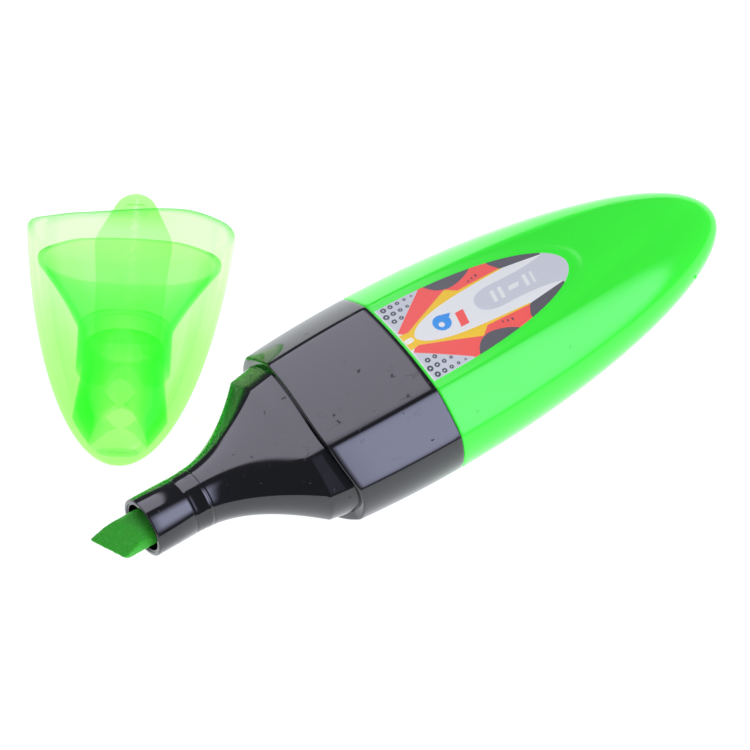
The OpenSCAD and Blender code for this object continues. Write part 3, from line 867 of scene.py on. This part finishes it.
def cap_shell(material):
    """The cap's wall, from its tip to its wavy rim with a rounded edge."""
    last, edge = LEDGE_X - 1.6, 0.3
    rings = [body_ring(x, 0, CAP) for x in stations(-NOSE * 0.9999, last, NOSE, 80)]
    rings += [body_ring(last + (CAP_RIM - edge - last) * s, 0, CAP) for s in (0.33, 0.66)]
    rings += [body_ring(CAP_RIM - edge * back, edge * ahead, CAP) for ahead, back in rounding(4)]
    shell = combine(loft("cap_clear", rings, CAP_PLACE), cap_hollow("hollow"), "DIFFERENCE")

    def depth(at):
        """Thick on the wall away from the clip, a little less at its rim, and all round the tip."""
        tipwards, rim = smooth((LEDGE_X - at.x) / 22), 0.78
        return max(smooth(-at.z / 3 + 0.5) * (rim + (1 - rim) * tipwards), tipwards)

    set_depth(shell, depth)
    return shade(shell, material)


def cap_sleeve(material):
    """The seal sleeve inside the cap, which flares towards the tip."""
    outside = ((SLEEVE_ROOT_X - 2, 1.5), (-40, 0.8), (LINER_COLLAR_X, 0.1),
               (SLEEVE_X - 0.15, 0), (SLEEVE_X, -0.15))
    rings = [round_ring(x, SLEEVE_R + grow) for x, grow in outside]
    sleeve = loft("sleeve_clear", rings, CAP_PLACE)
    combine(sleeve, cap_hollow("sleeve_limit", -0.05), "INTERSECT")
    inside = ((-NOSE, MOUTH_R + 0.9), (-44, MOUTH_R + 0.2), (NOZZLE_X - 2, MOUTH_R),
              (NOZZLE_X - 0.3, SLEEVE_BORE_R), (SLEEVE_X + 1, SLEEVE_BORE_R))
    room = loft("sleeve_room", [round_ring(x, r) for x, r in inside], CAP_PLACE)
    combine(sleeve, room, "DIFFERENCE")
    set_depth(sleeve, lambda at: 0)
    return shade(sleeve, material)


def cap_liner(material):
    """The funnel round the plug and the neck, with a collar that holds the sleeve."""
    end, edge = LEDGE_X - RIM_DEPTH, 0.25
    outer = LINER_CLEAR + LINER_WALL

    def funnel(x, grow):
        return neck_ring(x, grow, LINER_POWER, CAP)

    outside = [funnel(x, outer) for x in np.linspace(LINER_STOP_X, end - edge, 28)]
    outside += [funnel(end - edge * back, outer - edge * ahead) for ahead, back in rounding(4)][1:]
    liner = loft("liner_clear", outside, CAP_PLACE)
    collar_r = SLEEVE_R + 0.1 + LINER_WALL
    collar = rod("collar", LINER_COLLAR_X, LINER_STOP_X + 0.5, collar_r, place=CAP_PLACE)
    combine(liner, collar, "UNION")
    combine(liner, cap_hollow("liner_room", LINER_GAP), "INTERSECT")
    inside = [funnel(x, LINER_CLEAR) for x in np.linspace(LINER_STOP_X, end + 1, 30)]
    combine(liner, loft("funnel_room", inside, CAP_PLACE), "DIFFERENCE")
    bore_r = SLEEVE_R + LINER_GAP
    bore = rod("sleeve_room", LINER_COLLAR_X - 1, LINER_STOP_X + 0.2, bore_r, place=CAP_PLACE)
    combine(liner, bore, "DIFFERENCE")
    set_depth(liner, lambda at: smooth((at.x + 28) / 9) * smooth(0.5 - at.z / 3))
    return shade(liner, material)


# ---- Clip ----
CLIP_END_R, CLIP_BELLY, CLIP_WAIST = 2.9, CLIP_END_X - 8.5, CLIP_END_X - 13.5
CLIP_WAIST_HALF_W = CLIP_ROOT_HALF_W + 0.4
CLIP_ROUND, CLIP_POINTS = 0.28, 40      # the power that rounds its edges, the points round a section


def clip_half_width(x):
    """Round free end, straight flare to the belly, then in to the waist and the root."""
    end_mid = CLIP_END_X - CLIP_END_R
    lean = math.asin((CLIP_HALF_W - CLIP_END_R) / (end_mid - CLIP_BELLY))
    touch_end = end_mid + CLIP_END_R * math.sin(lean)
    touch_belly = CLIP_BELLY + CLIP_HALF_W * math.sin(lean)
    if x > touch_end:
        return math.sqrt(max(0, CLIP_END_R ** 2 - (x - end_mid) ** 2))
    if x > touch_belly:
        share = (touch_end - x) / (touch_end - touch_belly)
        return math.cos(lean) * (CLIP_END_R + (CLIP_HALF_W - CLIP_END_R) * share)
    if x > CLIP_BELLY:
        return math.sqrt(CLIP_HALF_W ** 2 - (x - CLIP_BELLY) ** 2)
    if x > CLIP_WAIST:
        share = (x - CLIP_WAIST) / (CLIP_BELLY - CLIP_WAIST)
        return CLIP_WAIST_HALF_W + (CLIP_HALF_W - CLIP_WAIST_HALF_W) * share
    share = (x - CLIP_ROOT_X) / (CLIP_WAIST - CLIP_ROOT_X)
    return CLIP_ROOT_HALF_W + (CLIP_WAIST_HALF_W - CLIP_ROOT_HALF_W) * share


def clip_ring(x):
    """The clip's cross-section: a slab with rounded edges between its inner and its outer face."""
    outer = clip_face(x)
    inner = max(HALF_T * float(outline(x)) + 0.02, outer - CLIP_T)
    half_h, half_w = (outer - inner) / 2, max(0.02, clip_half_width(x))
    ring = []
    for a in np.linspace(0, 2 * math.pi, CLIP_POINTS, endpoint=False):
        c, s = math.cos(a), math.sin(a)
        reach = min(half_h, half_w)
        side = half_w - reach + reach * abs(c) ** CLIP_ROUND
        y = math.copysign(side, c) if abs(c) > 0.05 else half_w * c * 2
        ring.append((x, y, (outer + inner) / 2 + math.copysign(half_h * abs(s) ** CLIP_ROUND, s)))
    return np.array(ring)


def pocket_clip(material):
    """The clip, with a bead across the inside of its free end."""
    ends = CLIP_END_X - np.array([0.01, 0.05, 0.15, 0.3, 0.5, 0.8, 1.2, 1.7, 2.3])
    xs = sorted(set(np.linspace(CLIP_ROOT_X, CLIP_END_X - 3, 44)) | set(ends))
    clip = loft("clip_clear", [clip_ring(x) for x in xs], CAP_PLACE)
    bead_x, bead_r, half_len, half_wide = CLIP_END_X - CLIP_END_R, 1.0, 1.5, 0.6
    bead = bpy.data.meshes.new("bead")
    bm = bmesh.new()
    bmesh.ops.create_uvsphere(bm, u_segments=32, v_segments=16, radius=bead_r)
    for vertex in bm.verts:                     # a bar with round ends across the clip
        x, y, z = vertex.co
        vertex.co = (x, z * half_wide + math.copysign(half_len - half_wide, z), -y)
    bm.to_mesh(bead)
    bm.free()
    bead.transform(Matrix.Translation((bead_x, 0, clip_face(bead_x) - bead_r - 0.15)))
    bead.transform(CAP_PLACE)
    bead.transform(Matrix.Scale(MM, 4))
    bar = bpy.data.objects.new("bead", bead)
    bpy.context.scene.collection.objects.link(bar)
    combine(clip, bar, "UNION")
    set_depth(clip, lambda at: smooth((at.x - CLIP_END_X) / 5 + 1.3), both=True)
    return shade(clip, material)


# ---- Stage, light and camera ----

def soften(data, soft):
    """Lets a lamp's face fade out at its edges, over the shares, soft, of its width and height."""
    data.use_nodes = True
    m = Nodes(data.node_tree)
    face = m.add("ShaderNodeNewGeometry").outputs["Parametric"]
    split = m.add("ShaderNodeSeparateXYZ", Vector=face)
    shares = []
    for axis, share in zip(("X", "Y"), soft):
        away = m.maths("ABSOLUTE", m.maths("SUBTRACT", split.outputs[axis], 0.5))
        shares.append(m.span(away, 0.5 - share, 0.5, 1, 0, "SMOOTHSTEP"))
    m.feed(m.tree.nodes["Emission"].inputs["Strength"], m.maths("MULTIPLY", *shares))


def soft_box(name, lean, along, across, radiance, tone, glow, soft):
    """A long soft box over the object, parallel to the pen, that leans over from overhead.

    lean is in degrees towards +Y, along is its span in X and across its span in degrees, all as
    seen from a metre away. The object's gloss sees its radiance in its tone, with the soft edges
    that soften makes, and the rest of the light is white and glow times as strong.
    """
    way = Vector((0, math.sin(math.radians(lean)), math.cos(math.radians(lean))))
    width, height = along[1] - along[0], 2 * math.tan(math.radians(across / 2))
    for part, share in (("gloss", 1), ("glow", glow)):
        data = bpy.data.lights.new(name + "_" + part, "AREA")
        data.shape, data.size, data.size_y = "RECTANGLE", width, height
        data.energy = radiance * share * math.pi * width * height
        data.color = tone if part == "gloss" else WHITE
        if part == "gloss":
            soften(data, soft)
        lamp = bpy.data.objects.new(name + "_" + part, data)
        lamp.location = (CAD_LOW + CAD_HIGH) / 2 + way + Vector((sum(along) / 2, 0, 0))
        lamp.rotation_euler = way.to_track_quat("Z", "Y").to_euler()
        lamp.visible_camera = False
        lamp.visible_glossy = part == "gloss"
        lamp.visible_diffuse = lamp.visible_transmission = part == "glow"
        bpy.context.scene.collection.objects.link(lamp)


def studio_world():
    """A pale surround for the camera, and a dim one for what the object reflects."""
    world = bpy.data.worlds.new("studio")
    bpy.context.scene.world = world
    world.use_nodes = True
    m = Nodes(world.node_tree)
    shown = m.tree.nodes["Background"]
    m.feed(shown.inputs["Color"], (0.93, 0.94, 0.96))
    dim = m.add("ShaderNodeBackground", Color=(0.85, 0.9, 1), Strength=0.16)
    camera_ray = m.add("ShaderNodeLightPath").outputs["Is Camera Ray"]
    both = m.mix_shader(camera_ray, dim.outputs[0], shown.outputs[0])
    m.feed(m.tree.nodes["World Output"].inputs["Surface"], both)


def stage():
    half = 8.0 / MM
    corners = [(-half, -half, 0), (half, -half, 0), (half, half, 0), (-half, half, 0)]
    floor = mesh_object("floor", corners, [(0, 1, 2, 3)])
    floor.data.materials.append(floor_paper())
    studio_world()
    soft_box("back_box", lean=36, along=(-0.88, 0.53), across=60, radiance=3.9,
             tone=(0.87, 0.84, 1.0), glow=0.73, soft=(0.09, 0.09))
    soft_box("front_box", lean=-45, along=(0.0, 1.28), across=76, radiance=7.2,
             tone=(0.69, 0.71, 1.0), glow=0.44, soft=(0.2, 0.4))


def camera():
    """Looks at the middle of the group from the left and above, through a very long lens."""
    azimuth, elevation = math.radians(-34.75), math.radians(53.4)
    distance, view_width = 4.0, 100.27 * MM
    aim_right, aim_up = -1.65 * MM, 2.2 * MM
    level = math.cos(elevation)
    back = Vector((math.sin(azimuth) * level, -math.cos(azimuth) * level, math.sin(elevation)))
    right = Vector((math.cos(azimuth), math.sin(azimuth), 0))
    up = back.cross(right)
    aim = right * aim_right + up * aim_up + Vector((0, 0, AXIS_Z * MM))
    data = bpy.data.cameras.new("camera")
    data.sensor_width = 36
    data.lens = data.sensor_width * distance / view_width
    data.clip_start, data.clip_end = 0.1, 40
    eye = bpy.data.objects.new("camera", data)
    eye.location = aim + back * distance
    eye.rotation_mode = "QUATERNION"
    eye.rotation_quaternion = (-back).to_track_quat("-Z", "Y")
    bpy.context.scene.collection.objects.link(eye)
    bpy.context.scene.camera = eye


def paint_node(node, material):
    """Gives a CAD node that keeps its own mesh a material."""
    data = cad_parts[node].data
    data.materials.clear()
    data.materials.append(material)


def build():
    wall = clear_green("clear_shell", thin=(0.98, 1.0, 0.96), thick=(0.68, 1.0, 0.5), line=0.7,
                       milk=0.03, gloss=0.07)
    clip = clear_green("clear_clip", thin=(0.82, 1.0, 0.79), thick=(0.68, 1.0, 0.56), line=0.0,
                       milk=0.03, gloss=0.07)
    core = clear_green("clear_core", thin=(0.85, 1.0, 0.82), thick=(0.85, 1.0, 0.62), line=0.4,
                       milk=0.05, gloss=0.06, soak=((0.1, 0.97, 0.35), 350.0))
    install(barrel(green_plastic()), "barrel", "pen")
    install(front_section(black_plastic()), "front_section", "pen")
    install(nib(felt()), "nib", "pen")
    install(label(printed_film()), "label", "pen")
    install(cap_shell(wall), "cap_shell", "cap")
    install(cap_sleeve(core), "cap_shell", "cap")
    install(cap_liner(core), "cap_liner", "cap")
    install(pocket_clip(clip), "pocket_clip", "clip")
    paint_node("ink_reservoir", fibre())
    paint_node("reservoir_film", clear_film())


scene = bpy.context.scene
scene.view_settings.view_transform = "Standard"
scene.cycles.transparent_max_bounces = 48
build()
stage()
camera()
